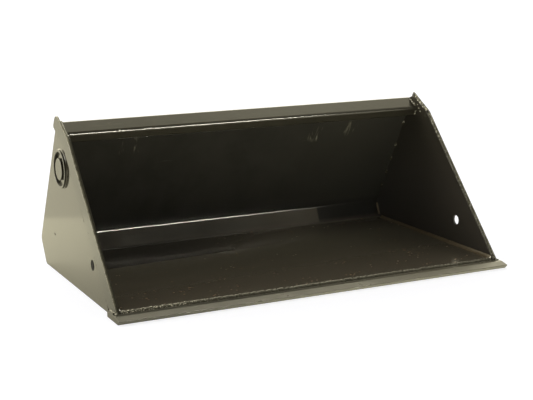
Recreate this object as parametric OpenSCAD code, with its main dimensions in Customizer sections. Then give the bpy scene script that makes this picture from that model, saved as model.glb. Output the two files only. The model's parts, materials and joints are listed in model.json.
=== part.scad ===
// Compact loader bucket: a folded steel shell between two side plates, with a bevelled cutting edge.
// Side views are drawn as [y, z]. y is measured from where the front line of the sides meets the ground.

/* [Width] */
// Length of the cutting edge, the widest piece
edge_len = 1050; // [900:10:1200]
// Width over the two edge bars
body_w = 1036; // [880:2:1040]

/* [Cutting edge] */
// Depth of the cutting edge from its nose to its rear face
edge_depth = 80; // [70:1:100]
// Thickness of the cutting edge
edge_t = 15; // [12:1:20]
// How far the nose stands ahead of the front line of the sides
nose_reach = 20; // [16:1:24]
// Height of the nose above the ground
nose_h = 9; // [6:0.5:10]
// Depth of the upper bevel
top_bevel = 23; // [15:1:30]
// Depth of the lower bevel
under_bevel = 8; // [4:1:10]

/* [Shell] */
// Thickness of the folded sheet
sheet_t = 4; // [3:0.5:6]
// Distance from the front line to the heel fold
floor_len = 579; // [540:1:620]
// Distance that the sheet stays back from the front line
floor_start = 27; // [24:1:32]
// Length of the heel band between the two folds
heel_len = 52; // [45:1:60]
// Slope of the heel band
heel_angle = 66; // [60:1:70]
// Lean of the back from upright
back_lean = 29.5; // [26:0.5:32]
// Height of the back along its slope
back_len = 337; // [325:1:350]
// Inside radius of the two folds
fold_r = 7; // [5:0.5:10]

/* [Sides] */
// Thickness of the side plates
plate_t = 6; // [5:0.5:8]
// How far the side plates stand out behind the shell
plate_margin = 17; // [12:1:20]
// Foot of the rear edge of a side plate, past the heel fold
plate_heel = 8; // [4:1:12]
// Height at which the rear edge of a side plate turns
plate_turn_h = 62; // [56:1:68]
// Diameter of the hole through each side plate
side_hole_d = 26; // [20:1:32]
// Distance of that hole behind the front line
side_hole_y = 189; // [160:1:220]
// Height of that hole
side_hole_z = 88; // [80:1:100]

/* [Edge bars] */
// Thickness of the edge bars, which lie on the outside of the side plates
bar_t = 4; // [3:0.5:6]
// Width of the edge bars
bar_w = 44; // [38:1:48]
// Start of an edge bar on the cutting edge, behind the front line
bar_toe = 13; // [11:1:16]
// Slope of the long leg of an edge bar
bar_angle = 47.1; // [46:0.1:48]
// Length of the long leg
bar_leg = 480; // [460:1:490]
// Length of the short upper leg of the left bar
left_bar_top = 108; // [104:1:120]
// Length of the short upper leg of the right bar
right_bar_top = 90; // [86:1:104]
// How far the edge of the side plates stays back from the front edge of the bars
bar_lead = 4; // [2:0.5:5]

/* [Top rail] */
// Depth of the rail, front to back
rail_w = 55; // [48:1:58]
// Height of the rail
rail_h = 31; // [26:1:34]
// Wall of the rail tube
rail_wall = 3; // [2:0.5:4]
// Outside corner radius of the rail tube
rail_r = 8; // [5:0.5:10]
// Distance from the front of the rail to the inner face of the back
rail_reach = 34; // [32:0.5:36]

/* [Collars] */
// Outside diameter of the collar on each side plate
collar_d = 97; // [80:1:100]
// Wall of the collar
collar_wall = 6; // [4:0.5:9]
// How far the collar stands out
collar_h = 6; // [4:0.5:10]
// Diameter of the plug in the collar
plug_d = 55; // [44:1:66]
// How far the plug stands out
plug_h = 7; // [5:0.5:10]
// Distance of the collar behind the front line
collar_y = 413; // [400:1:420]
// Height of the collar
collar_z = 281; // [275:1:290]

/* [Rear hitch] */
// Distance from the middle of the bucket to the middle of a pair of ears
hitch_x = 210; // [160:1:300]
// Clear gap between the two ears of a pair
ear_gap = 50; // [40:1:60]
// Thickness of an ear
ear_t = 12; // [10:1:16]
// Radius of an ear around a pivot
ear_r = 34; // [30:1:36]
// Height of the lower pivot above the upper fold, along the back
pivot_low = 50; // [48:1:56]
// Distance between the two pivots
pivot_pitch = 190; // [160:1:200]
// Distance from a pivot to the pad
pivot_reach = 50; // [46:1:60]
// Diameter of the pivot bores
pin_d = 30; // [25:0.5:32]
// Outside diameter of the bushes
bush_d = 46; // [42:1:50]
// How far a bush stands out of its ear, on the side away from the gap
bush_proud = 6; // [3:0.5:10]
// Thickness of the pads
pad_t = 8; // [6:1:10]
// Width of the pads
pad_w = 140; // [120:1:150]

/* [Hidden] */
$fn = 96;
arc_steps = 8;
LEFT = -1;
RIGHT = 1;
// Extra length of a cutter past each face that it opens
cut = 1;

// Corner radii in side view
nose_land = 1.5;
foot_r = 12;
turn_r = 16;
peak_r = 5;
left_tip_r = 24;
right_tip_r = 3;
bar_rear_r = 5;
bar_bend_r = 24;

// Cut across the top rear corner of a side plate, along its top and down its rear
peak_cut = [22, 26];

// Legs of the weld beads, and their lengths and places where they are broken
lip_weld_leg = 9;
lip_weld_crown = 1;
floor_weld_leg = 7;
weld_leg = 4;
toe_weld_leg = 5;
collar_weld_leg = 2;
// Stitches inside, measured from the upper fold up the back
stitch_at = [60, 110, 160, 210, 290];
stitch_len = 14;
// Stitches outside, measured from the bend of the edge bar down its long leg
seam_at = [30, 160, 290, 400];
seam_len = 45;

// Side-view geometry
function dir(a) = [cos(a), sin(a)];
function unit(v) = v / norm(v);
function cross2(a, b) = a[0] * b[1] - a[1] * b[0];
function reversed(v) = [for (i = [len(v) - 1:-1:0]) v[i]];
// Where the line through p at angle a meets the line through q at angle b
function meet(p, a, q, b) = p + dir(a) * cross2(q - p, dir(b)) / cross2(dir(a), dir(b));
// Angle from direction a to direction b, between -180 and 180
function turn(a, b) = (atan2(b[1], b[0]) - atan2(a[1], a[0]) + 540) % 360 - 180;
// Points of the arc that rounds the corner p of an outline
function corner(before, p, after, r) =
  r == 0 ? [p] :
  let (
    u = unit(before - p),
    w = unit(after - p),
    half = acos(u * w) / 2,
    c = p + unit(u + w) * r / sin(half),
    from = p + u * r / tan(half) - c,
    sweep = turn(from, p + w * r / tan(half) - c),
    start = atan2(from[1], from[0])
  )
  [for (i = [0:arc_steps]) c + r * dir(start + sweep * i / arc_steps)];
// Points of a closed outline given as [corner, radius] pairs
function outline(c) =
  let (n = len(c))
  [for (i = [0:n - 1]) each corner(c[(i + n - 1) % n][0], c[i][0], c[(i + 1) % n][0], c[i][1])];

bar_x = body_w / 2;
plate_x = bar_x - bar_t;
inner_x = plate_x - plate_t;
floor_top = edge_t + sheet_t;
edge_rear = edge_depth - nose_reach;
back_angle = 90 + back_lean;
up_back = dir(back_angle);
out_back = dir(back_lean);

// Sharp corners of the shell's inner face
sheet_front = [floor_start, floor_top];
heel_fold = [floor_len, floor_top];
back_fold = heel_fold + heel_len * dir(heel_angle);
back_top = back_fold + back_len * up_back;
back_out = sheet_t * out_back;

// Corners of the rail
rail_low = back_top - rail_reach * out_back;
rail_high = rail_low + rail_h * up_back;

// Corners of an edge bar, along its front and then its rear
bar_start = [bar_toe, edge_t];
bar_kink = bar_start + bar_leg * dir(bar_angle);
bar_under_kink = bar_kink - bar_w * up_back;
bar_rear_kink = meet(bar_start + bar_w * dir(bar_angle - 90), bar_angle, bar_under_kink, back_lean);
bar_rear_start = meet(bar_rear_kink, bar_angle, bar_start, 0);

// Corners of a side plate, along its rear and then down its front
plate_foot = [floor_len + plate_heel, 0];
plate_turn = meet(back_fold + back_out + plate_margin * out_back, back_angle, [0, plate_turn_h], 0);
plate_top = bar_kink - bar_lead * up_back;
plate_peak = meet(plate_turn, back_angle, plate_top, back_lean);
plate_kink = meet(bar_start + bar_lead * dir(bar_angle - 90), bar_angle, plate_top, back_lean);
plate_toe = meet(plate_kink, bar_angle, bar_start, 0);

// Hitch: face of the pads, and the two pivots in side view
pad_face = back_fold + back_out + pad_t * out_back;
pad_low = pivot_low - ear_r - 6;
pad_high = pivot_low + pivot_pitch + ear_r + 6;
low_pivot = pad_face + pivot_reach * out_back + pivot_low * up_back;
high_pivot = low_pivot + pivot_pitch * up_back;
web_depth = pivot_reach * 0.6;

// The origin lies midway between the nose and the rearmost point of the ears
mid_y = (low_pivot[0] + ear_r - nose_reach) / 2;

// Extrudes a side view from x0 to x1
module across(x0, x1) {
  translate([x0, -mid_y, 0]) rotate([90, 0, 90]) linear_extrude(x1 - x0) children();
}

// Draws a right-hand shape on the given side
module on_side(side) {
  mirror([side == LEFT ? 1 : 0, 0, 0]) children();
}

// Turns a round shape so that its axis lies along X, and starts it at x over the side-view point p
module axle(x, p) {
  translate([x, p[0] - mid_y, p[1]]) rotate([0, 90, 0]) children();
}

// Triangular bead along the side-view line from a to b, shortened by trim at each end.
// One leg runs along X from x towards the side that toward gives, and the other
// stands square to the line, on its left.
module bead(a, b, x, leg, toward = -1, trim = 0) {
  run = norm(b - a) - 2 * trim;
  start = a + trim * unit(b - a);
  translate([x, start[0] - mid_y, start[1]])
    rotate([atan2(b[1] - a[1], b[0] - a[0]), 0, 0])
      translate([0, run, 0]) rotate([90, 0, 0])
        linear_extrude(run) polygon([[0, 0], [toward * leg, 0], [0, leg]]);
}

// Folded sheet: floor, heel band and back
function fold(p, before, after, grow) =
  let (
    half = (after - before) / 2,
    c = p + fold_r / cos(half) * dir(before + half + 90)
  )
  [for (i = [0:arc_steps]) c + (fold_r + grow) * dir(before - 90 + 2 * half * i / arc_steps)];
function shell_face(grow) = concat(
  [sheet_front - [0, grow]],
  fold(heel_fold, 0, heel_angle, grow),
  fold(back_fold, heel_angle, back_angle, grow),
  [back_top + grow * out_back]
);

module shell() {
  color([0.11, 0.11, 0.09])
    across(-inner_x, inner_x) polygon(concat(shell_face(0), reversed(shell_face(sheet_t))));
}

// Flat bar with a long upper bevel and a short lower one
module cutting_edge() {
  color([0.42, 0.41, 0.34])
    across(-edge_len / 2, edge_len / 2) polygon([
      [edge_rear, 0],
      [edge_rear, edge_t],
      [top_bevel - nose_reach, edge_t],
      [-nose_reach, nose_h + nose_land / 2],
      [-nose_reach, nose_h - nose_land / 2],
      [under_bevel - nose_reach, 0]
    ]);
}

// Section of the rail tube, drawn in by inset on every side
module rail_section(inset, r) {
  low = rail_low + inset * (out_back + up_back);
  wide = (rail_w - 2 * inset) * out_back;
  tall = (rail_h - 2 * inset) * up_back;
  polygon(outline([[low, r], [low + wide, r], [low + wide + tall, r], [low + tall, r]]));
}

module top_rail() {
  color([0.33, 0.32, 0.26])
    across(-inner_x, inner_x) difference() {
      rail_section(0, rail_r);
      rail_section(rail_wall, rail_r - rail_wall);
    }
}

module side_plate(side) {
  color([0.5, 0.49, 0.41]) on_side(side) difference() {
    across(inner_x, plate_x) polygon(outline([
      [[edge_rear, 0], 0],
      [plate_foot, foot_r],
      [plate_turn, turn_r],
      [plate_peak - peak_cut[1] * up_back, peak_r],
      [plate_peak - peak_cut[0] * out_back, peak_r],
      [plate_kink, bar_bend_r - bar_lead],
      [plate_toe, 0],
      [[edge_rear, edge_t], 0]
    ]));
    axle(inner_x - cut, [side_hole_y, side_hole_z]) cylinder(d = side_hole_d, h = plate_t + 2 * cut);
  }
}

// Flat bar lapped on to the outside of the side plate, along its front
module edge_bar(side) {
  tip = bar_kink + (side == LEFT ? left_bar_top : right_bar_top) * out_back;
  color([0.47, 0.46, 0.38]) on_side(side)
    across(plate_x, bar_x) polygon(outline([
      [bar_start, 0],
      [bar_kink, bar_bend_r],
      [tip, side == LEFT ? left_tip_r : right_tip_r],
      [tip - bar_w * up_back, bar_rear_r],
      [bar_rear_kink, bar_bend_r],
      [bar_rear_start, 0]
    ]));
}

// Round collar on the outside of the side plate
module collar(side) {
  color([0.36, 0.35, 0.29]) on_side(side) axle(plate_x, [collar_y, collar_z]) difference() {
    cylinder(d = collar_d, h = collar_h);
    translate([0, 0, -cut]) cylinder(d = collar_d - 2 * collar_wall, h = collar_h + 2 * cut);
  }
}

// Round plug in the middle of the collar
module plug(side) {
  color([0.45, 0.44, 0.36]) on_side(side) axle(plate_x, [collar_y, collar_z])
    cylinder(d = plug_d, h = plug_h);
}

// Doubler plate on the back, under a pair of ears
module hitch_pad(side) {
  base = pad_face - pad_t * out_back;
  color([0.3, 0.3, 0.25]) on_side(side)
    across(hitch_x - pad_w / 2, hitch_x + pad_w / 2) polygon([
      base + pad_low * up_back,
      pad_face + pad_low * up_back,
      pad_face + pad_high * up_back,
      base + pad_high * up_back
    ]);
}

// Two round-ended arms joined by a web
module ear_outline() {
  reach = pivot_reach * out_back;
  half = ear_r * up_back;
  web = (pivot_reach - web_depth) * out_back;
  for (p = [low_pivot, high_pivot]) {
    translate(p) circle(r = ear_r);
    polygon([p - half, p + half, p + half - reach, p - half - reach]);
  }
  polygon([low_pivot - web, high_pivot - web, high_pivot - reach, low_pivot - reach]);
}

// One ear, on the far or the near side of the gap
module ear(side, away) {
  x = hitch_x + (away ? ear_gap / 2 : -ear_gap / 2 - ear_t);
  color([0.34, 0.33, 0.27]) on_side(side) difference() {
    across(x, x + ear_t) ear_outline();
    for (p = [low_pivot, high_pivot]) axle(x - cut, p) cylinder(d = bush_d, h = ear_t + 2 * cut);
  }
}

// The two bushes on one pivot, flush with the faces of the gap
module bushes(side, p) {
  length = ear_t + bush_proud;
  color([0.55, 0.55, 0.52]) on_side(side)
    for (x = [ear_gap / 2, -ear_gap / 2 - length])
      axle(hitch_x + x, p) difference() {
        cylinder(d = bush_d, h = length);
        translate([0, 0, -cut]) cylinder(d = pin_d, h = length + 2 * cut);
      }
}

// Fillet along the front of the sheet, on top of the cutting edge
module lip_weld() {
  color([0.5, 0.49, 0.42])
    across(-inner_x, inner_x) polygon([
      [floor_start - lip_weld_leg, edge_t],
      [floor_start, edge_t],
      [floor_start, floor_top + lip_weld_crown],
      [floor_start - lip_weld_leg / 2, floor_top]
    ]);
}

// Fillet between the rear of the cutting edge and the underside of the sheet
module edge_rear_weld() {
  p = [edge_rear, edge_t];
  color([0.3, 0.3, 0.25])
    across(-inner_x, inner_x) polygon([p, p - [0, weld_leg], p + [weld_leg, 0]]);
}

// Fillet between the back of the sheet and the underside of the rail
module rail_rear_weld() {
  p = back_top + back_out;
  color([0.3, 0.3, 0.25])
    across(-inner_x, inner_x) polygon([p, p + weld_leg * out_back, p - weld_leg * up_back]);
}

// Fillets inside the bucket, along the floor and the heel band
module floor_weld(side) {
  color([0.32, 0.3, 0.24]) on_side(side) {
    bead(sheet_front, heel_fold - [fold_r, 0], inner_x, floor_weld_leg);
    bead(heel_fold, back_fold, inner_x, weld_leg, trim = fold_r);
  }
}

// Short fillets up the corner between the back and the side plate
module stitch_welds(side) {
  color([0.32, 0.3, 0.24]) on_side(side)
    for (d = stitch_at)
      bead(back_fold + (d - stitch_len / 2) * up_back,
           back_fold + (d + stitch_len / 2) * up_back, inner_x, weld_leg);
}

// Fillets between the end of the rail and the side plate, on the top and the front
module rail_weld(side) {
  color([0.6, 0.6, 0.52]) on_side(side) {
    bead(rail_high, rail_high + rail_w * out_back, inner_x, weld_leg, trim = rail_r);
    bead(rail_low, rail_high, inner_x, weld_leg, trim = rail_r);
  }
}

// Fillet on the ledge of the cutting edge, outside the edge bar
module toe_weld(side) {
  color([0.55, 0.54, 0.46]) on_side(side)
    bead(bar_start, [edge_rear, edge_t], bar_x, toe_weld_leg, toward = 1);
}

// Short fillets between the rear edge of the bar and the side plate
module seam_weld(side) {
  down = -dir(bar_angle);
  color([0.5, 0.49, 0.42]) on_side(side)
    for (d = seam_at)
      bead(bar_rear_kink + d * down, bar_rear_kink + (d + seam_len) * down,
           plate_x, bar_t, toward = 1);
}

// Fillets in the step between the edge of the side plate and the inner face of the bar
module lap_weld(side) {
  color([0.55, 0.54, 0.46]) on_side(side) {
    bead(plate_toe, plate_kink, plate_x, bar_lead, trim = weld_leg);
    bead(plate_kink, plate_peak - peak_cut[0] * out_back, plate_x, bar_lead, trim = weld_leg);
  }
}

// Fillets between the outer face of the shell and the side plate
module outer_weld(side) {
  under = [0, -sheet_t];
  heel_out = sheet_t * dir(heel_angle - 90);
  color([0.3, 0.3, 0.25]) on_side(side) {
    bead(heel_fold + under, [edge_rear, edge_t], inner_x, weld_leg, trim = fold_r);
    bead(back_fold + heel_out, heel_fold + heel_out, inner_x, weld_leg, trim = fold_r);
    bead(back_top + back_out, back_fold + back_out, inner_x, weld_leg, trim = fold_r);
  }
}

// Fillet around the foot of the collar
module collar_weld(side) {
  r = collar_d / 2;
  leg = collar_weld_leg;
  color([0.33, 0.32, 0.26]) on_side(side) axle(plate_x, [collar_y, collar_z])
    rotate_extrude() polygon([[r, 0], [r + leg, 0], [r, leg]]);
}

// Fillets up both edges of a pad
module pad_weld(side) {
  base = pad_face - pad_t * out_back;
  color([0.3, 0.3, 0.25]) on_side(side)
    for (toward = [-1, 1])
      bead(base + pad_high * up_back, base + pad_low * up_back,
           hitch_x + toward * pad_w / 2, weld_leg, toward);
}

// Fillets between the ears and their pad, on the faces away from the gap
module ear_weld(side) {
  color([0.3, 0.3, 0.25]) on_side(side)
    for (toward = [-1, 1])
      bead(pad_face + (pad_high - weld_leg) * up_back, pad_face + (pad_low + weld_leg) * up_back,
           hitch_x + toward * (ear_gap / 2 + ear_t), weld_leg, toward);
}

shell();
cutting_edge();
top_rail();
side_plate(LEFT);  // left_side_plate
side_plate(RIGHT);  // right_side_plate
edge_bar(LEFT);  // left_edge_bar
edge_bar(RIGHT);  // right_edge_bar
collar(LEFT);  // left_collar
collar(RIGHT);  // right_collar
plug(LEFT);  // left_plug
plug(RIGHT);  // right_plug
hitch_pad(LEFT);  // left_hitch_pad
hitch_pad(RIGHT);  // right_hitch_pad
ear(LEFT, true);  // left_outer_ear
ear(LEFT, false);  // left_inner_ear
ear(RIGHT, false);  // right_inner_ear
ear(RIGHT, true);  // right_outer_ear
bushes(LEFT, low_pivot);  // left_lower_bushes
bushes(LEFT, high_pivot);  // left_upper_bushes
bushes(RIGHT, low_pivot);  // right_lower_bushes
bushes(RIGHT, high_pivot);  // right_upper_bushes
lip_weld();
edge_rear_weld();
rail_rear_weld();
floor_weld(LEFT);  // left_floor_weld
floor_weld(RIGHT);  // right_floor_weld
stitch_welds(LEFT);  // left_stitch_welds
stitch_welds(RIGHT);  // right_stitch_welds
rail_weld(LEFT);  // left_rail_weld
rail_weld(RIGHT);  // right_rail_weld
toe_weld(LEFT);  // left_toe_weld
toe_weld(RIGHT);  // right_toe_weld
seam_weld(LEFT);  // left_seam_weld
seam_weld(RIGHT);  // right_seam_weld
outer_weld(LEFT);  // left_outer_weld
outer_weld(RIGHT);  // right_outer_weld
lap_weld(LEFT);  // left_lap_weld
lap_weld(RIGHT);  // right_lap_weld
collar_weld(LEFT);  // left_collar_weld
collar_weld(RIGHT);  // right_collar_weld
pad_weld(LEFT);  // left_pad_weld
pad_weld(RIGHT);  // right_pad_weld
ear_weld(LEFT);  // left_ear_weld
ear_weld(RIGHT);  // right_ear_weld
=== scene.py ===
import json
import math
import random

import bmesh
import bpy
from mathutils import Matrix, Vector, noise


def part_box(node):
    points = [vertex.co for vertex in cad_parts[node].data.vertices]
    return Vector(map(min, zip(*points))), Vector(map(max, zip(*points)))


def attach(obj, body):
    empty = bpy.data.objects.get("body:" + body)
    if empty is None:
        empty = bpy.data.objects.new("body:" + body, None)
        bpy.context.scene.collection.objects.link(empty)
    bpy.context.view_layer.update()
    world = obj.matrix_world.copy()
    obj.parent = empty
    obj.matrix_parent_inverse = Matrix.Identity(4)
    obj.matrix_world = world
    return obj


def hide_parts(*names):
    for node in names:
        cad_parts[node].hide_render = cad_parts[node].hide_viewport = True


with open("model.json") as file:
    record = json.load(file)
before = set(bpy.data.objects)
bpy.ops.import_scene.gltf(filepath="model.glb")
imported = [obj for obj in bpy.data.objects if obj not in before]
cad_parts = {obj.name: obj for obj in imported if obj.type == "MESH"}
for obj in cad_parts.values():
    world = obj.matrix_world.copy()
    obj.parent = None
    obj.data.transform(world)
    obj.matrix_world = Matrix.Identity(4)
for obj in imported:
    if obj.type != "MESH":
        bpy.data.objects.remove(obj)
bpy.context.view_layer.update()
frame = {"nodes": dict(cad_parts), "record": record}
scene = bpy.context.scene

# The looks of a welded loader bucket: every CAD node is replaced by a piece with eased edges or a
# rippled weld bead, under procedural paint. Lengths are metres and colours are linear.

MM = 0.001
X = Vector((1, 0, 0))
Y = Vector((0, 1, 0))
Z = Vector((0, 0, 1))
SIDES = ("left", "right")
SHEET = 4 * MM         # thickness of the shell
BEAD_STEP = 0.9 * MM   # spacing of the stations down a weld bead
BEAD_ROOT = 0.3 * MM   # how far a bead's root sinks into each plate

# paint and metal
OLIVE = (0.026, 0.0245, 0.0205)
# INSIDE is the inside paint's own neutral grey, lifted a little as painted light for the shaded inside.
INSIDE = (0.035, 0.0345, 0.0335)
WELD = (0.040, 0.037, 0.028)
CORNER_WELD = (0.17, 0.135, 0.095)
BUSH_STEEL = (0.45, 0.45, 0.44)

# marks on the paint: real tones and wear, and painted light, shade, reflections and glints
WARM_FLOOR = (0.102, 0.090, 0.080)
REAR_FLOOR_LIGHT = (0.21, 0.197, 0.168)
RIGHT_BACK_LIGHT = (0.056, 0.055, 0.052)
RIGHT_PLATE_LIGHT = (0.072, 0.066, 0.066)
HEEL_REFLECTION = (0.125, 0.110, 0.090)
RUST = (0.36, 0.23, 0.14)
DUSTY = (0.20, 0.19, 0.16)
BAR_FACE_LIGHT = (0.20, 0.195, 0.16)
UNDER_BEVEL_REFLECTION = (0.22, 0.22, 0.21)
BAR_CORNER_HIGHLIGHT = (0.72, 0.70, 0.62)
BEAD_GLINT = (0.85, 0.83, 0.74)
LIP_GLINT = (0.85, 0.82, 0.75)
BARE_CHIP = (0.85, 0.83, 0.78)

# floor: what the camera sees, and the glow that lights the object from below
FLOOR_WHITE = (0.88, 0.88, 0.88)
SEEN_FLOOR = (0.25, 0.266, 0.379)
SEEN_GLOW = 0.80
GLOW_TINT = (1.0, 0.945, 0.64)
GLOW_NEAR = 0.64
GLOW_FAR = 0.262
GLOW_STEP = 1.01
REAR_LEFT = (-0.438, 0.899)
FLOOR_RADIUS = 40.0

# camera and light
CAMERA_PLACE = (-1.3494, -2.7774, 0.8183)
CAMERA_AIM = (0.42888, 0.87958, -0.20593)
CAMERA_ROLL = -0.458
CAMERA_LENS = 81.84
DOME_TINT = (1.0, 0.94, 0.70)


# ---------------------------------------------------------------- directions and places

def direction(degrees):
    """Unit vector in the side view, measured from +Y towards +Z."""
    a = math.radians(degrees)
    return Vector((0, math.cos(a), math.sin(a)))


UP_THE_BACK = direction(90 + 29.5)
OUT_OF_THE_BAR = direction(90 + 47.1)
UNDER_BEVEL = Vector((0, -0.718, -0.696))
INTO_THE_BUCKET = Vector((0, -1, 0.3))

inner_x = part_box("shell")[1].x
edge_lo, edge_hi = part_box("cutting_edge")
floor_top = edge_hi.z + SHEET
side_holes = [mount for mount in frame["record"]["mounts"] if mount["name"].endswith("side_hole")]


# ---------------------------------------------------------------- node materials

class Nodes:
    """Builds one material's node tree, with short calls."""

    def __init__(self, name):
        self.mat = bpy.data.materials.new(name)
        self.mat.use_nodes = True
        self.tree = self.mat.node_tree
        self.tree.nodes.clear()
        self.out = self.add("ShaderNodeOutputMaterial")
        self.bsdf = self.add("ShaderNodeBsdfPrincipled")
        self.link(self.bsdf.outputs[0], self.out.inputs["Surface"])
        self.coord = self.add("ShaderNodeTexCoord").outputs["Object"]

    def add(self, kind):
        return self.tree.nodes.new(kind)

    def link(self, a, b):
        self.tree.links.new(a, b)

    def put(self, value, socket):
        """Links a socket to another, or sets it to a number."""
        if isinstance(value, bpy.types.NodeSocket):
            self.link(value, socket)
        else:
            socket.default_value = value

    def math(self, op, a, b=0.0, clamp=False):
        n = self.add("ShaderNodeMath")
        n.operation = op
        n.use_clamp = clamp
        self.put(a, n.inputs[0])
        self.put(b, n.inputs[1])
        return n.outputs[0]

    def scaled(self, scale, offset):
        """The point's place, stretched and moved."""
        n = self.add("ShaderNodeMapping")
        self.link(self.coord, n.inputs["Vector"])
        n.inputs["Scale"].default_value = scale
        n.inputs["Location"].default_value = offset
        return n.outputs[0]

    def noise(self, scale, detail=3.0, rough=0.5, stretch=(1, 1, 1), offset=(0, 0, 0), warp=0.0):
        n = self.add("ShaderNodeTexNoise")
        self.link(self.scaled(stretch, offset), n.inputs["Vector"])
        n.inputs["Scale"].default_value = scale
        n.inputs["Detail"].default_value = detail
        n.inputs["Roughness"].default_value = rough
        n.inputs["Distortion"].default_value = warp
        return n.outputs["Fac"]

    def axis(self, i):
        """One coordinate of the point, in metres."""
        n = self.add("ShaderNodeSeparateXYZ")
        self.link(self.coord, n.inputs[0])
        return n.outputs[i]

    def looks_to(self, towards):
        """How far the face looks towards a direction."""
        n = self.add("ShaderNodeVectorMath")
        n.operation = "DOT_PRODUCT"
        n.inputs[1].default_value = towards
        self.link(self.add("ShaderNodeNewGeometry").outputs["True Normal"], n.inputs[0])
        return n.outputs["Value"]

    def times(self, *values):
        product = values[0]
        for v in values[1:]:
            product = self.math("MULTIPLY", product, v)
        return product

    def cells(self, scale, offset=(0, 0, 0)):
        """Distance from the nearest of many scattered points."""
        n = self.add("ShaderNodeTexVoronoi")
        self.link(self.scaled((1, 1, 1), offset), n.inputs["Vector"])
        n.inputs["Scale"].default_value = scale
        return n.outputs["Distance"]

    def ramp(self, value, low, high, a=0.0, b=1.0):
        """a where the value is low, b where it is high, and smooth between."""
        n = self.add("ShaderNodeMapRange")
        n.interpolation_type = "SMOOTHSTEP"
        self.put(value, n.inputs["Value"])
        n.inputs["From Min"].default_value = low
        n.inputs["From Max"].default_value = high
        n.inputs["To Min"].default_value = a
        n.inputs["To Max"].default_value = b
        return n.outputs[0]

    def mix(self, fac, a, b):
        n = self.add("ShaderNodeMix")
        n.data_type = "RGBA"
        self.put(fac, n.inputs[0])
        self.put(a if isinstance(a, bpy.types.NodeSocket) else (*a, 1), n.inputs[6])
        self.put(b if isinstance(b, bpy.types.NodeSocket) else (*b, 1), n.inputs[7])
        return n.outputs[2]

    def bump(self, height, distance, strength=1.0, under=None):
        n = self.add("ShaderNodeBump")
        n.inputs["Strength"].default_value = strength
        n.inputs["Distance"].default_value = distance
        self.link(height, n.inputs["Height"])
        if under is not None:
            self.link(under, n.inputs["Normal"])
        return n.outputs[0]

    def near(self, centre, radii, turn=(0, 0, 0)):
        """1 at centre, falling to 0 at an ellipsoid of those radii."""
        n = self.add("ShaderNodeMapping")
        n.vector_type = "TEXTURE"
        self.link(self.coord, n.inputs["Vector"])
        n.inputs["Location"].default_value = centre
        n.inputs["Rotation"].default_value = turn
        n.inputs["Scale"].default_value = radii
        length = self.add("ShaderNodeVectorMath")
        length.operation = "LENGTH"
        self.link(n.outputs[0], length.inputs[0])
        return self.math("SUBTRACT", 1.0, length.outputs["Value"], clamp=True)


def shade(colour, k):
    """A colour made k times lighter."""
    return tuple(min(c * k, 1.0) for c in colour)


def paint(name, base, rough=0.16, dust=0.25, scuffs=0.3, marks=(), peel=1.0, wave=1.0):
    """Thick glossy paint over rolled steel: cloudy tone, faint dust, scuffs, orange peel."""
    m = Nodes(name)
    cloud = m.ramp(m.noise(7.0, 4.0, 0.55, warp=0.4), 0.3, 0.7)
    streak = m.ramp(m.noise(14.0, 3.0, 0.6, stretch=(1, 1, 0.18)), 0.35, 0.75)
    colour = m.mix(cloud, shade(base, 0.88), shade(base, 1.12))
    colour = m.mix(m.times(streak, 0.35), colour, shade(base, 1.25))
    specks = m.ramp(m.cells(210.0), 0.10, 0.05)
    sparse = m.ramp(m.noise(30.0, 2.0, 0.5, offset=(3, 1, 2)), 0.56, 0.66)
    dusty = m.times(specks, sparse, dust)
    colour = m.mix(dusty, colour, shade(base, 5.5))
    fine = m.noise(60.0, 5.0, 0.65, stretch=(0.12, 1, 1), offset=(1, 5, 3), warp=0.6)
    scuff = m.times(m.ramp(fine, 0.62, 0.70),
                    m.ramp(m.noise(9.0, 2.0, offset=(8, 2, 5)), 0.55, 0.68), scuffs)
    colour = m.mix(scuff, colour, shade(base, 4.0))
    smooth = m.ramp(m.noise(11.0, 4.0, 0.6, offset=(4, 4, 1)), 0.3, 0.75, rough * 0.86, rough * 1.2)
    gloss = m.math("ADD", smooth, m.times(scuff, 0.3), clamp=True)
    for mask, tint, strength, dull in [mark(m) for mark in marks]:
        colour = m.mix(m.times(mask, strength), colour, tint)
        gloss = m.math("ADD", gloss, m.times(mask, dull), clamp=True)
    m.link(colour, m.bsdf.inputs["Base Color"])
    m.link(gloss, m.bsdf.inputs["Roughness"])
    m.bsdf.inputs["IOR"].default_value = 1.5
    low = m.bump(m.noise(4.0, 1.0, 0.4, offset=(2, 7, 1)), 4.0 * MM, 0.05 * wave)
    mid = m.bump(m.noise(55.0, 3.0, 0.5), 0.6 * MM, 0.06 * peel, low)
    m.link(m.bump(m.noise(420.0, 2.0, 0.5), 0.12 * MM, 0.20 * peel, mid), m.bsdf.inputs["Normal"])
    return m.mat


# A mark is a function of a material's nodes. It returns where it shows (0 to 1), its tint, its
# strength, and how much it dulls the gloss. Places in it are in the frame's own axes.

def band(m, value, low, high, soft_low, soft_high):
    """1 between low and high, fading over the given widths outside them."""
    return m.times(m.ramp(value, low - soft_low, low), m.ramp(value, high + soft_high, high))


def on_floor(m):
    """1 on the flat floor of the shell, 0 a few millimetres above it."""
    return m.ramp(m.axis(2), floor_top + 5 * MM, floor_top + 2 * MM)


def beside_dark_corner(m):
    """1 on the rest of the floor, falling to 0 in its rear left corner, which stays darker: a painted
    reflection of the dark back.
    """
    line = m.math("SUBTRACT", m.axis(1), m.math("MULTIPLY", m.axis(0), 0.08))
    behind = m.times(m.ramp(line, 0.088, 0.100), m.ramp(m.axis(0), 0.20, -0.25))
    return m.math("SUBTRACT", 1.0, behind, clamp=True)


def warm_floor(m):
    """The floor of the shell is browner and a little lighter than its back."""
    low = m.ramp(m.axis(2), floor_top + 16 * MM, floor_top + 2 * MM)
    mask = m.times(low, m.ramp(beside_dark_corner(m), 0.0, 1.0, 0.3, 1.0))
    return mask, WARM_FLOOR, 0.9, 0.0


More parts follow.
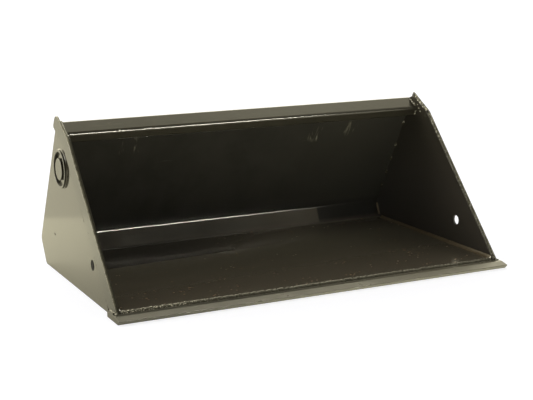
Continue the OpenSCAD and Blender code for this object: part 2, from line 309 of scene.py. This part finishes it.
def rear_floor_light(m):
    """Painted light: the floor is painted paler towards the heel, lifting the shade there."""
    mask = m.times(on_floor(m), m.ramp(m.axis(1), -0.25, 0.10), m.ramp(m.axis(1), 0.27, 0.10, 0.5, 1.0),
                   beside_dark_corner(m))
    return mask, REAR_FLOOR_LIGHT, 0.9, 0.0


def right_back_light(m):
    """Painted light: the back is painted a little paler towards its right-hand end."""
    mask = m.times(m.ramp(m.axis(0), 0.0, 0.42), m.ramp(m.axis(2), 0.06, 0.09))
    return mask, RIGHT_BACK_LIGHT, 0.9, 0.0


def right_plate_light(m):
    """Painted light on the inner face of the right side plate, stronger low down."""
    mask = m.times(m.ramp(m.axis(0), 0.40, 0.45), m.ramp(m.looks_to(-X), 0.8, 0.95),
                   m.ramp(m.axis(2), 0.38, 0.12, 0.25, 1.0))
    return mask, RIGHT_PLATE_LIGHT, 0.95, 0.0


def heel_reflection(m):
    """Painted reflection on the heel band, right of the middle, with a sharp right-hand end."""
    x = m.axis(0)
    along = m.ramp(x, -0.07, 0.27, 0.3, 1.0)
    cut_off = m.ramp(x, 0.306, 0.300)
    tall = band(m, m.axis(2), 0.026, 0.060, 0.006, 0.008)
    return m.times(along, cut_off, tall), HEEL_REFLECTION, 0.9, 0.04


def smear(centre, radii, lean, offset):
    """A streaky dusty smear, leaning in the front view, that fades out from its middle."""
    def mark(m):
        streaks = m.ramp(m.noise(70.0, 4.0, 0.6, stretch=(1, 0.2, 0.2), offset=offset, warp=0.8), 0.5, 0.66)
        middle = m.ramp(m.near(centre, radii, (0, lean, 0)), 0.0, 0.5)
        return m.times(middle, streaks), DUSTY, 1.0, 0.15
    return mark


def inside_only(mark):
    """The mark, on the faces of the shell that look into the bucket."""
    def masked(m):
        mask, tint, strength, dull = mark(m)
        return m.times(mask, m.ramp(m.looks_to(INTO_THE_BUCKET), 0.0, 0.2)), tint, strength, dull
    return masked


def facing(towards, tint, strength, dull=0.0, low=0.90, high=0.97, patch=0.35):
    """Faces that look in one direction, a little patchy."""
    def mark(m):
        patchy = m.ramp(m.noise(60.0, 4.0, 0.7, offset=(3, 3, 3)), 0.38, 0.62, patch, 1.0)
        return m.times(m.ramp(m.looks_to(towards), low, high), patchy), tint, strength, dull
    return mark


def bore_shade(centre, radius):
    """The wall of a hole along X, dulled and painted dark as shade."""
    def mark(m):
        sideways = m.ramp(m.math("ABSOLUTE", m.looks_to(X)), 0.9, 0.6)
        inside = m.ramp(m.near(centre, (radius, radius, radius)), 0.0, 0.1)
        return m.times(sideways, inside), shade(OLIVE, 0.4), 1.0, 0.7
    return mark


def specks(m):
    """Sparse rusty specks on the floor of the shell."""
    dots = m.ramp(m.cells(90.0, offset=(0.3, 0.1, 0)), 0.30, 0.20)
    sparse = m.ramp(m.noise(22.0, 3.0, 0.6, offset=(5, 1, 8)), 0.56, 0.62)
    return m.times(on_floor(m), dots, sparse, beside_dark_corner(m)), RUST, 0.5, 0.1


def right_end(m):
    """The cutting edge is painted a little lighter towards its right-hand end."""
    return m.ramp(m.axis(0), -0.30, 0.45), shade(OLIVE, 4.2), 0.9, 0.0


def glint_spots(low, high):
    """Painted glints: bright spots on a bead, fewer below a height."""
    def mark(m):
        spots = m.ramp(m.noise(170.0, 3.0, 0.6, offset=(7, 2, 3)), 0.53, 0.60)
        fewer = m.ramp(m.axis(2), low, high, 0.2, 1.0)
        return m.times(fewer, spots), BEAD_GLINT, 0.95, 0.0
    return mark


def bead_sparkle(m):
    """Painted glints along the left third of the bead at the lip."""
    spots = m.ramp(m.noise(230.0, 3.0, 0.6, offset=(2, 6, 1)), 0.57, 0.62)
    return m.times(m.ramp(m.axis(0), -0.22, -0.40), spots), LIP_GLINT, 0.95, 0.0


def spot(centre, radii, tint, strength, dull):
    """One soft-edged spot."""
    def mark(m):
        return m.ramp(m.near(centre, radii), 0.0, 0.6), tint, strength, dull
    return mark


def steel(name, base, rough=0.3):
    """Turned steel: fine rings of tool marks, slight staining."""
    m = Nodes(name)
    stain = m.ramp(m.noise(40.0, 4.0, 0.6), 0.35, 0.7)
    colour = m.mix(stain, shade(base, 0.7), shade(base, 1.1))
    m.link(colour, m.bsdf.inputs["Base Color"])
    m.bsdf.inputs["Metallic"].default_value = 1.0
    m.link(m.ramp(m.noise(90.0, 3.0), 0.3, 0.7, rough * 0.8, rough * 1.4), m.bsdf.inputs["Roughness"])
    rings = m.noise(900.0, 2.0, 0.5, stretch=(1, 0.05, 0.05))
    m.link(m.bump(rings, 0.05 * MM, 0.4), m.bsdf.inputs["Normal"])
    return m.mat


def floor_material(name):
    """Plain pale sheet. It shows as white, and its glow stands for a studio floor lit from above.

    The glow dips around the object. Far off to the rear left it steps down, which gives the left
    side plate the level line in its reflection.
    """
    m = Nodes(name)
    to_camera = m.add("ShaderNodeLightPath").outputs["Is Camera Ray"]
    faint = m.ramp(m.noise(2.0, 3.0), 0.3, 0.7, 0.99, 1.0)
    seen = m.mix(faint, (0, 0, 0), SEEN_FLOOR)
    m.link(m.mix(to_camera, FLOOR_WHITE, seen), m.bsdf.inputs["Base Color"])
    m.bsdf.inputs["Roughness"].default_value = 0.9
    m.bsdf.inputs["Specular IOR Level"].default_value = 0.1
    rear_left = [m.math("MULTIPLY", m.axis(i), part) for i, part in enumerate(REAR_LEFT)]
    reach = m.math("ADD", *rear_left)
    step = m.ramp(reach, GLOW_STEP - 0.02, GLOW_STEP + 0.02, GLOW_NEAR, GLOW_FAR)
    behind = m.ramp(reach, 0.0, 0.95, 0.3, 1.0)
    in_front = m.ramp(reach, -0.35, -0.08, 1.0, 0.3)
    glow = m.times(step, m.math("MAXIMUM", behind, in_front))
    m.link(m.mix(to_camera, GLOW_TINT, (1, 1, 1)), m.bsdf.inputs["Emission Color"])
    pick = m.add("ShaderNodeMix")
    m.link(to_camera, pick.inputs[0])
    m.link(glow, pick.inputs[2])
    pick.inputs[3].default_value = SEEN_GLOW
    m.link(pick.outputs[0], m.bsdf.inputs["Emission Strength"])
    return m.mat


inside_marks = [
    warm_floor,
    rear_floor_light,
    specks,
    right_back_light,
    heel_reflection,
    smear((-0.312, 0.139, 0.316), (0.036, 0.030, 0.044), lean=0.9, offset=(1, 2, 3)),
    smear((0.230, 0.143, 0.305), (0.030, 0.025, 0.035), lean=0.7, offset=(4, 2, 7)),
    smear((0.330, 0.137, 0.315), (0.030, 0.025, 0.035), lean=0.5, offset=(2, 5, 9)),
]
# Marks on the cutting edge: paint a little lighter towards its right-hand end, and a painted reflection of
# the floor on the faces under its bevel.
edge_marks = [right_end, facing(UNDER_BEVEL, UNDER_BEVEL_REFLECTION, 0.9, 0.1, low=0.95, high=0.99, patch=0.9)]
rail_marks = [spot((-0.366, 0.068, 0.370), (0.005, 0.005, 0.005), BARE_CHIP, 1.0, 0.3)]
side_marks = [spot((-0.514, 0.172, 0.099), (0.004, 0.010, 0.005), shade(OLIVE, 0.2), 0.8, 0.4), right_plate_light]
for hole in side_holes:
    side_marks.append(bore_shade(hole["pos_m"], 1.5 * hole["dims"]["r_mm"] * MM))
# Marks on the edge bars: painted light on the faces that look out of the front and up the back, and a painted
# highlight along their outer corners.
bar_marks = []
for front in (OUT_OF_THE_BAR, UP_THE_BACK):
    bar_marks.append(facing(front, BAR_FACE_LIGHT, 0.9, 0.1))
    bar_marks.append(facing((front - X).normalized(), BAR_CORNER_HIGHLIGHT, 0.9, 0.0, low=0.85, high=0.92))

# one look for each material slot of the record. paint_rail, paint_side and paint_bar are lighter and darker
# copies of the one olive paint: painted light and painted shade.
looks = {
    "paint_inside": paint("paint_inside", INSIDE, rough=0.17, dust=0.35, scuffs=0.2,
                          marks=[inside_only(mark) for mark in inside_marks]),
    "paint_worn": paint("paint_worn", shade(OLIVE, 1.25), rough=0.30, dust=0.3, scuffs=0.6, marks=edge_marks),
    "paint_rail": paint("paint_rail", shade(OLIVE, 1.65), rough=0.20, marks=rail_marks),
    "paint_side": paint("paint_side", shade(OLIVE, 1.4), rough=0.11, marks=side_marks),
    "paint_bar": paint("paint_bar", shade(OLIVE, 0.5), rough=0.18, scuffs=0.5, marks=bar_marks),
    "paint_collar": paint("paint_collar", OLIVE, rough=0.18),
    "paint_hitch": paint("paint_hitch", OLIVE, rough=0.22),
    "bush_steel": steel("bush_steel", BUSH_STEEL),
    "painted_weld": paint("painted_weld", WELD, rough=0.16, dust=0.2, scuffs=0.2, wave=0.0),
}

# looks of a few beads that differ from the rest. bright_weld, stitch_paint and lip_paint are lighter copies
# of the weld paint, as painted light, with painted glints on them; corner_paint is that bead's own colour.
bright_weld = paint("bright_weld", shade(WELD, 1.9), rough=0.10, dust=0.2, scuffs=0.2, wave=0.0,
                    marks=[glint_spots(0.27, 0.38)])
stitch_paint = paint("stitch_paint", shade(WELD, 1.4), rough=0.10, dust=0.2, scuffs=0.2, wave=0.0,
                     marks=[glint_spots(0.15, 0.50)])
corner_paint = paint("corner_paint", CORNER_WELD, rough=0.22, dust=0.2, scuffs=0.3, wave=0.0)
lip_paint = paint("lip_paint", shade(WELD, 1.3), rough=0.14, dust=0.2, scuffs=0.2, wave=0.0,
                  marks=[bead_sparkle])

slot_of = {s["node"]: s["material_slot"] for s in frame["record"]["subparts"]}


# ---------------------------------------------------------------- pieces

def new_piece(name, bm, node, smooth_angle=35.0):
    """Turns a bmesh into a shown piece that stands for a CAD node."""
    mesh = bpy.data.meshes.new(name)
    bmesh.ops.recalc_face_normals(bm, faces=bm.faces)
    bm.to_mesh(mesh)
    bm.free()
    mesh.materials.append(looks[slot_of[node]])
    for p in mesh.polygons:
        p.use_smooth = True
    mesh.set_sharp_from_angle(angle=math.radians(smooth_angle))
    obj = bpy.data.objects.new(name, mesh)
    scene.collection.objects.link(obj)
    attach(obj, "root")
    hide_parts(node)
    return obj


def eased(node, name, width, segments=2, min_angle=25.0):
    """The CAD node's own shape with its sharp corners rounded over."""
    bm = bmesh.new()
    bm.from_mesh(frame["nodes"][node].data)
    bmesh.ops.remove_doubles(bm, verts=bm.verts, dist=0.01 * MM)
    bmesh.ops.dissolve_limit(bm, angle_limit=math.radians(0.5), verts=bm.verts, edges=bm.edges)
    edges = [e for e in bm.edges if e.is_manifold and e.calc_face_angle(0) > math.radians(min_angle)]
    bmesh.ops.bevel(bm, geom=edges, offset=width, segments=segments, profile=0.6,
                    affect="EDGES", clamp_overlap=True)
    obj = new_piece(name, bm, node)
    flat = obj.modifiers.new("flat_faces", "WEIGHTED_NORMAL")
    flat.weight = 100
    flat.keep_sharp = True


def bead_mesh(bm, stations, seed, pitch=4.5 * MM, ripple=0.35 * MM, crown=0.18, rough=0.14, closed=False):
    """A rippled fillet. stations are (corner, along face A, along face B, leg) down its length.

    pitch and ripple are the spacing and height of the ripples, crown is how far the bead bulges and
    rough is how uneven its legs are, both as parts of the leg.
    """
    across = 8
    rings = []
    travelled = 0.0
    for i, (corner, a, b, leg) in enumerate(stations):
        if i:
            travelled += (corner - stations[i - 1][0]).length
        la = leg * (1 + rough * noise.noise(Vector((travelled * 160, seed, 0.3))))
        lb = leg * (1 + rough * noise.noise(Vector((travelled * 160, seed, 7.7))))
        taper = 1.0
        if not closed:
            end = min(i, len(stations) - 1 - i) / 5
            taper = math.sqrt(max(0.0, 1 - (1 - min(end, 1.0)) ** 2)) * 0.75 + 0.25
        normal = (a + b).normalized()
        ring = [corner - (a + b) * BEAD_ROOT]
        for j in range(across + 1):
            t = j / across
            p = corner + a * la * (1 - t) * taper + b * lb * t * taper
            arch = 4 * t * (1 - t)
            wander = 0.25 * noise.noise(Vector((travelled * 90, seed, 3)))
            phase = travelled / pitch + 0.45 * (2 * t - 1) ** 2 + wander
            scallop = abs(math.sin(math.pi * phase)) ** 0.7
            lump = noise.noise(Vector((travelled * 220, t * 2.5, seed)))
            p += normal * arch * (crown * leg * taper + ripple * (scallop - 0.4) + 0.3 * ripple * lump)
            ring.append(p)
        rings.append([bm.verts.new(p) for p in ring])
    count = len(rings)
    width = across + 2
    for i in range(count if closed else count - 1):
        r, s = rings[i], rings[(i + 1) % count]
        for j in range(width):
            k = (j + 1) % width
            bm.faces.new((r[j], r[k], s[k], s[j]))
    if not closed:
        bm.faces.new(rings[0][::-1])
        bm.faces.new(rings[-1])


def straight(start, end, a, b, leg):
    """Stations down a straight bead."""
    count = max(int((end - start).length / BEAD_STEP), 6)
    return [(start.lerp(end, i / count), a, b, leg) for i in range(count + 1)]


def spatter(bm, centre, radius, normal, seed):
    """A small drop of weld metal, flattened on to its face."""
    rng = random.Random(seed)
    made = bmesh.ops.create_icosphere(bm, subdivisions=2, radius=radius)
    turn = normal.to_track_quat("Z", "Y").to_matrix()
    for v in made["verts"]:
        p = v.co * (1 + 0.18 * noise.noise(v.co * 900 + Vector((seed, 0, 0))))
        p.z *= 0.6
        v.co = centre + turn @ (p * rng.uniform(0.97, 1.03))


def weld(node, name, runs, seed, drops=(), look=None, **shape):
    """One piece for a weld node: a bead for each run, and any drops of spatter beside them."""
    bm = bmesh.new()
    for n, (stations, closed) in enumerate(runs):
        bead_mesh(bm, stations, seed + n * 1.7, closed=closed, **shape)
    for n, (centre, radius, normal) in enumerate(drops):
        spatter(bm, centre, radius, normal, seed * 10 + n)
    obj = new_piece(name, bm, node, smooth_angle=60.0)
    if look is not None:
        obj.data.materials[0] = look


def corners(node):
    """Vertices of each separate solid of a CAD node, as lists, in the same order on every run."""
    bm = bmesh.new()
    bm.from_mesh(frame["nodes"][node].data)
    bmesh.ops.remove_doubles(bm, verts=bm.verts, dist=0.01 * MM)
    seen = set()
    groups = []
    for first in bm.verts:
        if first in seen:
            continue
        seen.add(first)
        group = [first]
        for v in group:
            for e in v.link_edges:
                w = e.other_vert(v)
                if w not in seen:
                    seen.add(w)
                    group.append(w)
        groups.append([v.co.copy() for v in group])
    bm.free()
    return groups


def prism_run(points, scale):
    """Stations down one triangular prism. Its corner line joins the two right-angled corners."""
    for p in points:
        for q in points:
            if q is p:
                continue
            axis = (q - p).normalized()
            near_p = [u for u in points if u is not p and abs((u - p).dot(axis)) < 0.01 * MM]
            near_q = [u for u in points if u is not q and abs((u - q).dot(axis)) < 0.01 * MM]
            if len(near_p) != 2 or len(near_q) != 2:
                continue
            a, b = near_p[0] - p, near_p[1] - p
            if abs(a.normalized().dot(b.normalized())) <= 0.02:
                leg = scale * (a.length + b.length) / 2
                return straight(p, q, a.normalized(), b.normalized(), leg)
    raise ValueError("no right-angled corner line in a weld")


def prism_runs(node, scale=1.0):
    """Stations down each triangular prism of a weld node, read from its own corners."""
    runs = []
    for points in corners(node):
        unique = []
        for p in points:
            if all((p - q).length > 0.05 * MM for q in unique):
                unique.append(p)
        if len(unique) != 6:
            raise ValueError(f"{node} has a solid with {len(unique)} corners")
        runs.append((prism_run(unique, scale), False))
    return runs


# plates, bars and fittings: rounded copies of the CAD shapes
for side in SIDES:
    eased(f"{side}_side_plate", f"{side}_side_plate_eased", 0.4 * MM)
    eased(f"{side}_edge_bar", f"{side}_edge_bar_eased", 1.0 * MM, segments=3, min_angle=20.0)
    eased(f"{side}_collar", f"{side}_collar_eased", 1.0 * MM, segments=3)
    eased(f"{side}_plug", f"{side}_plug_eased", 1.0 * MM, segments=3)
    eased(f"{side}_hitch_pad", f"{side}_hitch_pad_eased", 0.8 * MM)
    for ear in ("outer", "inner"):
        eased(f"{side}_{ear}_ear", f"{side}_{ear}_ear_eased", 0.9 * MM)
    for level in ("lower", "upper"):
        eased(f"{side}_{level}_bushes", f"{side}_{level}_bushes_eased", 0.7 * MM)
eased("cutting_edge", "cutting_edge_eased", 0.5 * MM, min_angle=12.0)
eased("shell", "shell_eased", 0.4 * MM)
eased("top_rail", "top_rail_eased", 0.4 * MM)

# weld beads, with the shapes, looks and drops that differ from the rest
uneven = {"rough": 0.45, "ripple": 0.8 * MM}
shapes = {"right_rail_weld": {**uneven, "scale": 0.7}, "right_lap_weld": uneven,
          "left_toe_weld": {**uneven, "scale": 0.5}, "right_toe_weld": {**uneven, "scale": 0.7}}
bead_looks = {**dict.fromkeys(shapes, bright_weld),
              "right_floor_weld": corner_paint, "right_stitch_welds": stitch_paint}
drops = {
    "right_rail_weld": [(Vector((inner_x - 1.5 * MM, y, z)), radius, -X)
                        for y, z, radius in ((0.062, 0.378, 0.0022), (0.054, 0.370, 0.0030),
                                             (0.048, 0.362, 0.0018))],
    "left_toe_weld": [(Vector((edge_lo.x + 3 * MM, y, edge_hi.z + 2 * MM)), radius, Z)
                      for y, radius in ((-0.2965, 0.0028), (-0.291, 0.0020))],
    "right_toe_weld": [(Vector((edge_hi.x - 3 * MM, -0.305, edge_hi.z + 1 * MM)), 0.0024, Z)],
}
for side in SIDES:
    seed = 11.0 if side == "left" else 23.0
    for kind in ("floor_weld", "stitch_welds", "rail_weld", "toe_weld", "seam_weld",
                 "outer_weld", "lap_weld", "pad_weld", "ear_weld"):
        seed += 3.1
        node = f"{side}_{kind}"
        shape = dict(shapes.get(node, {}))
        look = bead_looks.get(node)
        runs = prism_runs(node, scale=shape.pop("scale", 1.0))
        weld(node, f"{node}_bead", runs, seed, drops.get(node, ()), look, **shape)
for kind in ("edge_rear_weld", "rail_rear_weld"):
    weld(kind, f"{kind}_bead", prism_runs(kind), 5.0)


def collar_run(side):
    """Stations round the foot of a collar, on the outer face of its side plate."""
    lo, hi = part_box(f"{side}_collar_weld")
    centre = (lo + hi) / 2
    leg = hi.x - lo.x
    radius = (hi.y - lo.y) / 2 - leg
    sign = -1 if side == "left" else 1
    face_x = hi.x if side == "left" else lo.x
    steps = 360
    stations = []
    for i in range(steps):
        t = 2 * math.pi * i / steps
        outwards = Vector((0, math.cos(t), math.sin(t)))
        stations.append((Vector((face_x, centre.y, centre.z)) + outwards * radius,
                         outwards, X * sign, leg))
    return stations


def lip_run():
    """Stations along the lip, for a flat bead that is wider than it is high."""
    lo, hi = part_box("lip_weld")
    corner = Vector((0, hi.y, lo.z))
    steps = 1200
    stations = []
    for i in range(steps + 1):
        p = corner + X * (lo.x + (hi.x - lo.x) * i / steps)
        stations.append((p, -Y, Z * 0.62, 8.5 * MM))
    return stations


for side in SIDES:
    weld(f"{side}_collar_weld", f"{side}_collar_weld_bead", [(collar_run(side), True)], 41.0, ripple=0.2 * MM)
weld("lip_weld", "lip_weld_bead", [(lip_run(), False)], 3.0, look=lip_paint, pitch=6.5 * MM,
     ripple=0.8 * MM, crown=0.12, rough=0.3)


# ---------------------------------------------------------------- floor, light and camera

def make_floor():
    """A round sheet just under the object."""
    bm = bmesh.new()
    bmesh.ops.create_circle(bm, cap_ends=True, radius=FLOOR_RADIUS, segments=96)
    mesh = bpy.data.meshes.new("floor")
    bm.to_mesh(mesh)
    bm.free()
    mesh.materials.append(floor_material("floor_white"))
    floor = bpy.data.objects.new("floor", mesh)
    floor.location.z = -0.05 * MM
    scene.collection.objects.link(floor)


def softbox(name, place, aim, size, power, tint, lights_matt=True):
    """A soft light that the camera doesn't see. Without lights_matt it only makes reflections."""
    light = bpy.data.lights.new(name, "AREA")
    light.shape = "RECTANGLE"
    light.size, light.size_y = size
    light.energy = power
    light.color = tint
    obj = bpy.data.objects.new(name, light)
    obj.location = place
    obj.rotation_mode = "QUATERNION"
    obj.rotation_quaternion = (Vector(aim) - Vector(place)).to_track_quat("-Z", "Y")
    obj.visible_camera = False
    obj.visible_diffuse = lights_matt
    scene.collection.objects.link(obj)


def make_world():
    """White to the eye; for lighting, a warm dome that is bright behind and overhead."""
    world = bpy.data.worlds.new("studio")
    scene.world = world
    world.use_nodes = True
    tree = world.node_tree
    tree.nodes.clear()
    coord = tree.nodes.new("ShaderNodeTexCoord")

    def slope(towards, low, high, dim, bright):
        """Brightness that rises from dim to bright as the direction turns towards a vector."""
        dot = tree.nodes.new("ShaderNodeVectorMath")
        dot.operation = "DOT_PRODUCT"
        dot.inputs[1].default_value = towards
        fade = tree.nodes.new("ShaderNodeMapRange")
        fade.interpolation_type = "SMOOTHSTEP"
        tree.links.new(coord.outputs["Generated"], dot.inputs[0])
        tree.links.new(dot.outputs["Value"], fade.inputs["Value"])
        for socket, value in (("From Min", low), ("From Max", high), ("To Min", dim), ("To Max", bright)):
            fade.inputs[socket].default_value = value
        return fade.outputs[0]

    def combine(operation, a, b):
        n = tree.nodes.new("ShaderNodeMath")
        n.operation = operation
        tree.links.new(a, n.inputs[0])
        tree.links.new(b, n.inputs[1])
        return n.outputs[0]

    high_up = slope((0.0, 0.0, 1.0), 0.5, 0.85, 0.2, 0.95)
    rightwards = slope((1.0, 0.0, 0.0), 0.35, 0.45, 0.25, 1.05)
    behind = slope((0.0, 0.9, 0.25), 0.38, 0.85, 0.0, 3.5)

    seen = tree.nodes.new("ShaderNodeBackground")
    seen.inputs["Color"].default_value = (1, 1, 1, 1)
    dome = tree.nodes.new("ShaderNodeBackground")
    dome.inputs["Color"].default_value = (*DOME_TINT, 1)
    tree.links.new(combine("ADD", behind, combine("MULTIPLY", high_up, rightwards)), dome.inputs["Strength"])
    path = tree.nodes.new("ShaderNodeLightPath")
    pick = tree.nodes.new("ShaderNodeMixShader")
    tree.links.new(path.outputs["Is Camera Ray"], pick.inputs[0])
    tree.links.new(dome.outputs[0], pick.inputs[1])
    tree.links.new(seen.outputs[0], pick.inputs[2])
    out = tree.nodes.new("ShaderNodeOutputWorld")
    tree.links.new(pick.outputs[0], out.inputs["Surface"])


def make_camera():
    """A long lens at the left front, turned a little about its own line of sight."""
    cam = bpy.data.cameras.new("camera")
    cam.sensor_fit = "HORIZONTAL"
    cam.sensor_width = 36.0
    cam.lens = CAMERA_LENS
    cam.clip_start, cam.clip_end = 0.05, 200.0
    obj = bpy.data.objects.new("camera", cam)
    forward = Vector(CAMERA_AIM).normalized()
    level_right = forward.cross(Z).normalized()
    level_up = level_right.cross(forward).normalized()
    roll = math.radians(CAMERA_ROLL)
    right = math.cos(roll) * level_right + math.sin(roll) * level_up
    up = -math.sin(roll) * level_right + math.cos(roll) * level_up
    turn = Matrix((right, up, -forward)).transposed()
    obj.matrix_world = Matrix.Translation(CAMERA_PLACE) @ turn.to_4x4()
    scene.collection.objects.link(obj)
    scene.camera = obj


make_floor()
make_world()
softbox("left_fill", place=(-3.2, 1.6, 1.6), aim=(-0.4, 0.1, 0.1), size=(2.6, 2.2),
        power=45, tint=DOME_TINT)
softbox("corner_box", place=(-2.4, 0.2, 1.9), aim=(-0.5, 0.0, 0.2), size=(1.8, 1.2),
        power=60, tint=(1, 0.97, 0.85), lights_matt=False)
softbox("front_strip", place=(0.50, -2.3, 0.45), aim=(-0.1, 0.15, 0.2), size=(1.6, 0.10),
        power=125, tint=(1, 0.95, 0.8), lights_matt=False)
make_camera()
scene.view_settings.view_transform = "Standard"
scene.view_settings.look = "None"
scene.view_settings.exposure = 0.0
scene.view_settings.gamma = 1.0
